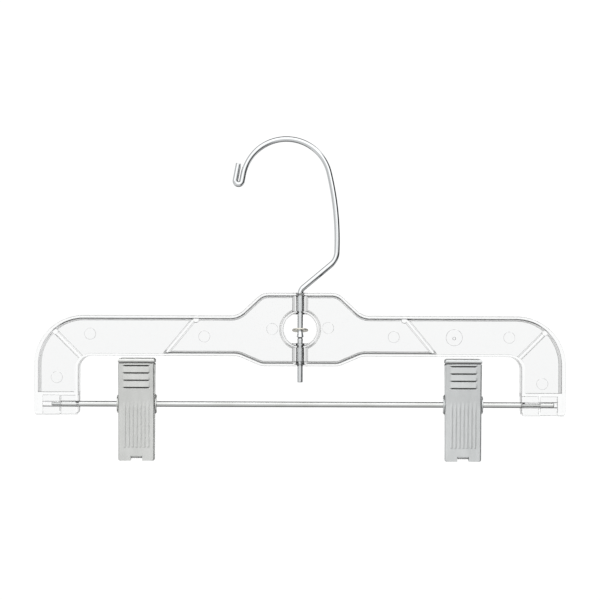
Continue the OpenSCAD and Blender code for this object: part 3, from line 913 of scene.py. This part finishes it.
def grip_tab():
    """The toothed tab, folded in and down from the top of the notch."""
    top = -GRIP_H + NOTCH_H
    root = top + 0.6
    face = plate_y(top)
    outer_r, inner_r = SHEET_T + TAB_FOLD_R, TAB_FOLD_R
    turn = 90 - TAB_LEAN
    inner_edge = arc(face + outer_r, top, inner_r, 180, 180 + turn, 6)
    outer_edge = arc(face + outer_r, top, outer_r, 180, 180 + turn, 6)
    lean = math.radians(TAB_LEAN)
    run = Vector((math.cos(lean), -math.sin(lean)))
    length = (TAB_END_Y - outer_edge[-1][0]) / run.x
    inner_edge.append(tuple(Vector(inner_edge[-1]) + run * length))
    outer_edge.append(tuple(Vector(outer_edge[-1]) + run * length))
    section = [(face, root)] + outer_edge + inner_edge[::-1] + [(face + SHEET_T, root)]
    tab = solid("tab", [[(x, y, z) for y, z in section] for x in (-TAB_HALF, TAB_HALF)])
    pitch = 2 * TAB_HALF / TAB_TEETH
    for i in range(TAB_TEETH + 1):
        x = pitch * i - TAB_HALF
        gap = [(x - TAB_TOOTH_HALF, TAB_END_Y + 0.5), (x + TAB_TOOTH_HALF, TAB_END_Y + 0.5),
               (x, TAB_END_Y - 1.0)]
        cut(tab, solid("gap", [[(u, v, z) for u, v in gap] for z in (top - 4, top + 2)]))
    return tab


def jaw(side_x, rear):
    """A pressed jaw over side_x. The rear one is a front one turned about Z, with its ears set out."""
    ear_r, jog = (REAR_EAR_R, REAR_EAR_JOG) if rear else (FRONT_EAR_R, 0.0)
    piece = solid("jaw", [jaw_row(row) for row in plate_rows(ear_r, jog) + curl_rows()])
    cut(piece, rod_along((-15, 0, 0), (15, 0, 0), ROD_R + 0.08))
    cut(piece, block((-NOTCH_HALF, -6, -GRIP_H - 2), (NOTCH_HALF, -1, -GRIP_H + NOTCH_H)))
    join(piece, grip_tab())
    turn = Matrix.Rotation(math.pi, 4, "Z") if rear else Matrix.Identity(4)
    centre = Vector((side_x, 0, ROD_Z)) * MM
    piece.data.transform(Matrix.Translation(centre) @ turn)
    shade(piece, 40)
    return piece


def spring_path():
    """Centre line of the spring wire: down the front leg, round the coil and up the rear leg."""
    steps = round(COIL_TURNS * 28)
    start, sweep = math.pi + SPRING_LEAN, 2 * math.pi * COIL_TURNS - 2 * SPRING_LEAN
    length = COIL_TURNS * COIL_PITCH
    coil = []
    for i in range(steps + 1):
        a = start + sweep * i / steps
        coil.append(Vector((length * (i / steps - 0.5), COIL_R * math.cos(a), COIL_R * math.sin(a))))
    rear = Vector((0, math.sin(SPRING_LEAN), math.cos(SPRING_LEAN)))
    front = Vector((0, -rear.y, rear.z))
    shares = (0.08, 0.25, 0.5, 0.75, 0.99, 1)
    head = [coil[0] + front * (SPRING_LEG * share) for share in reversed(shares)]
    tail = [coil[-1] + rear * (SPRING_LEG * share) for share in shares]
    return head + coil + tail, length


def clip_spring(side_x):
    """The torsion spring of the clip over side_x, and the two ends of its coil in metres."""
    path, length = spring_path()
    centre = Vector((side_x, 0, ROD_Z))
    rings = []
    for i, at in enumerate(path):
        ahead = (path[min(i + 1, len(path) - 1)] - path[max(i - 1, 0)]).normalized()
        out = Vector((1, 0, 0)).cross(ahead).normalized()
        over = ahead.cross(out)
        size = SPRING_WIRE_R * 0.75 if i in (0, len(path) - 1) else SPRING_WIRE_R
        rings.append([centre + (at + out * (size * c) + over * (size * s)) for c, s in circle(14)])
    spring = solid("spring", rings)
    shade(spring, 50)
    start, end = (centre + Vector((side * length / 2, 0, 0)) for side in (-1, 1))
    return spring, start * MM, end * MM


# ---------------------------------------------------------------- build

PLASTIC, CHROME, ROD, WASHER, SPRING = clear_plastic(), chrome(), zinc_rod(), yellow_zinc(), spring_steel()
SHEETS = {"left": zinc_sheet("zinc_sheet_warm", (0.78, 0.79, 0.77), (0.88, 0.89, 0.87)),
          "right": zinc_sheet("zinc_sheet_cool", (0.76, 0.78, 0.78), (0.86, 0.88, 0.88))}


def add_piece(piece, name, body, node, material):
    """Finishes a rigid piece and makes it ride on its body."""
    finish_piece(piece, name, node, material)
    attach(piece, body)


def add_clip(name):
    """The two jaws of a clip, and the spring between them."""
    low, high = box_mm(f"{name}_clip_front_jaw")
    at = (low.x + high.x) / 2
    for rear, end in ((False, "front"), (True, "rear")):
        body = f"{name}_{end}_jaw"
        add_piece(jaw(at, rear), body, body, f"{name}_clip_{end}_jaw", SHEETS[name])
    spring, start, end = clip_spring(at)
    finish_piece(spring, f"{name}_spring", f"{name}_clip_spring", SPRING)
    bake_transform(spring)


add_piece(hanger_body(), "moulded_body", "frame", "hanger_body", PLASTIC)
add_piece(hook_wire(), "wire_hook", "hook", "hook_wire", CHROME)
add_piece(retaining_washer(), "washer", "washer", "retaining_washer", WASHER)
add_piece(clip_rod(), "rod", "rod", "clip_rod", ROD)
for side_name in ("left", "right"):
    add_clip(side_name)


# ---------------------------------------------------------------- studio

WHITE = 1.05

# The surround, in the camera's own axes: X right, Y up, Z ahead. Each patch is a direction, the
# angle within which it is full, the angle at which it has faded out, and its level. A later patch
# covers the ones before it
SURROUND_LEVEL = 0.68
PATCHES = [
    ((0.0, 1.0, 0.0), 84, 94, 1.25),
    ((-1.0, 0.1, 0.15), 34, 56, 0.5),
    ((-0.8, 0.0, 0.6), 24, 36, 0.7),
    ((0.8, 0.0, 0.6), 28, 40, 0.65),
    ((0.98, 0.15, -0.08), 28, 40, 0.02),
    ((0.62, -0.5, -0.6), 20, 32, 0.07),
    ((0.0, -1.0, 0.0), 22, 44, 0.4),
    ((0.0, 1.0, 0.7), 32, 44, 0.03),
    ((0.0, -1.0, 0.7), 32, 44, 0.15),
    ((0.0, 0.0, 1.0), 24, 37, WHITE)]

# The camera stands a little off the middle of the object, as it does in the view to match
CAMERA_DISTANCE, CAMERA_ROLL = 1.6, -0.2
CAMERA_X, CAMERA_DROP = -0.00015, 0.0008
FRAME_WIDTH = 1.129 * (cad_high.x - cad_low.x)

FLOOR_SIZE, FLOOR_DROP = 12, 0.3
FLOOR_FADE_START, FLOOR_FADE_END, FLOOR_LEAST_GLOW = 0.15, 0.75, 0.55


def surround():
    """Soft studio surround that turns with the camera, so that every side is lit alike."""
    world = bpy.data.worlds.new("studio")
    world.use_nodes = True
    tree = world.node_tree
    place = tree.nodes.new("ShaderNodeTexCoord")
    unit = tree.nodes.new("ShaderNodeVectorMath")
    unit.operation = "NORMALIZE"
    tree.links.new(place.outputs["Camera"], unit.inputs[0])
    level = tree.nodes.new("ShaderNodeValue")
    level.outputs[0].default_value = SURROUND_LEVEL
    value = level.outputs[0]
    for direction, full_deg, gone_deg, patch_level in PATCHES:
        dot = tree.nodes.new("ShaderNodeVectorMath")
        dot.operation = "DOT_PRODUCT"
        dot.inputs[1].default_value = Vector(direction).normalized()
        tree.links.new(unit.outputs["Vector"], dot.inputs[0])
        edge = tree.nodes.new("ShaderNodeMapRange")
        edge.interpolation_type = "SMOOTHSTEP"
        edge.inputs["From Min"].default_value = math.cos(math.radians(gone_deg))
        edge.inputs["From Max"].default_value = math.cos(math.radians(full_deg))
        tree.links.new(dot.outputs["Value"], edge.inputs["Value"])
        mix = tree.nodes.new("ShaderNodeMix")
        mix.inputs["B"].default_value = patch_level
        tree.links.new(edge.outputs["Result"], mix.inputs["Factor"])
        tree.links.new(value, mix.inputs["A"])
        value = mix.outputs["Result"]
    tree.links.new(value, tree.nodes["Background"].inputs["Strength"])
    tree.nodes["Background"].inputs["Color"].default_value = (1, 1, 1, 1)
    return world


def add_camera():
    """The camera, in front and almost level with the middle of the object."""
    camera = bpy.data.objects.new("camera", bpy.data.cameras.new("camera"))
    scene.collection.objects.link(camera)
    scene.camera = camera
    middle_z = ((cad_low + cad_high) / 2).z
    camera.location = (CAMERA_X, -CAMERA_DISTANCE, middle_z - CAMERA_DROP)
    camera.rotation_euler = (math.radians(90), math.radians(CAMERA_ROLL), 0)
    sensor = 36
    camera.data.sensor_width = sensor
    camera.data.lens = sensor / 2 * CAMERA_DISTANCE / (FRAME_WIDTH / 2)


def floor_material():
    """Pale and matt, fading with distance into the white of the surround."""
    material, tree, shader = new_material("floor", Base_Color=(0.93, 0.93, 0.93, 1), Roughness=0.8)
    place = tree.nodes.new("ShaderNodeTexCoord")
    length = tree.nodes.new("ShaderNodeVectorMath")
    length.operation = "LENGTH"
    fade = tree.nodes.new("ShaderNodeMapRange")
    fade.interpolation_type = "SMOOTHSTEP"
    fade.inputs["From Min"].default_value = FLOOR_FADE_START
    fade.inputs["From Max"].default_value = FLOOR_FADE_END
    fade.inputs["To Min"].default_value = FLOOR_LEAST_GLOW
    white = tree.nodes.new("ShaderNodeEmission")
    white.inputs["Strength"].default_value = WHITE
    mix = tree.nodes.new("ShaderNodeMixShader")
    tree.links.new(place.outputs["Object"], length.inputs[0])
    tree.links.new(length.outputs["Value"], fade.inputs["Value"])
    tree.links.new(fade.outputs["Result"], mix.inputs["Fac"])
    tree.links.new(shader.outputs["BSDF"], mix.inputs[1])
    tree.links.new(white.outputs["Emission"], mix.inputs[2])
    tree.links.new(mix.outputs["Shader"], tree.nodes["Material Output"].inputs["Surface"])
    return material


def add_floor():
    """The floor, far enough below to stay out of the front view, and unseen in the clear plastic."""
    half = FLOOR_SIZE / 2
    corners = [(-half, -half, 0), (half, -half, 0), (half, half, 0), (-half, half, 0)]
    data = bpy.data.meshes.new("floor")
    data.from_pydata(corners, [], [(0, 1, 2, 3)])
    floor = bpy.data.objects.new("floor", data)
    scene.collection.objects.link(floor)
    floor.location = (0, 0, cad_low.z - FLOOR_DROP)
    floor.visible_glossy = False
    floor.visible_transmission = False
    floor.data.materials.append(floor_material())


scene.view_settings.view_transform = "Standard"
scene.cycles.max_bounces = 20
scene.cycles.transmission_bounces = 20
scene.cycles.transparent_max_bounces = 16
scene.world = surround()
add_camera()
add_floor()

bpy.context.view_layer.update()
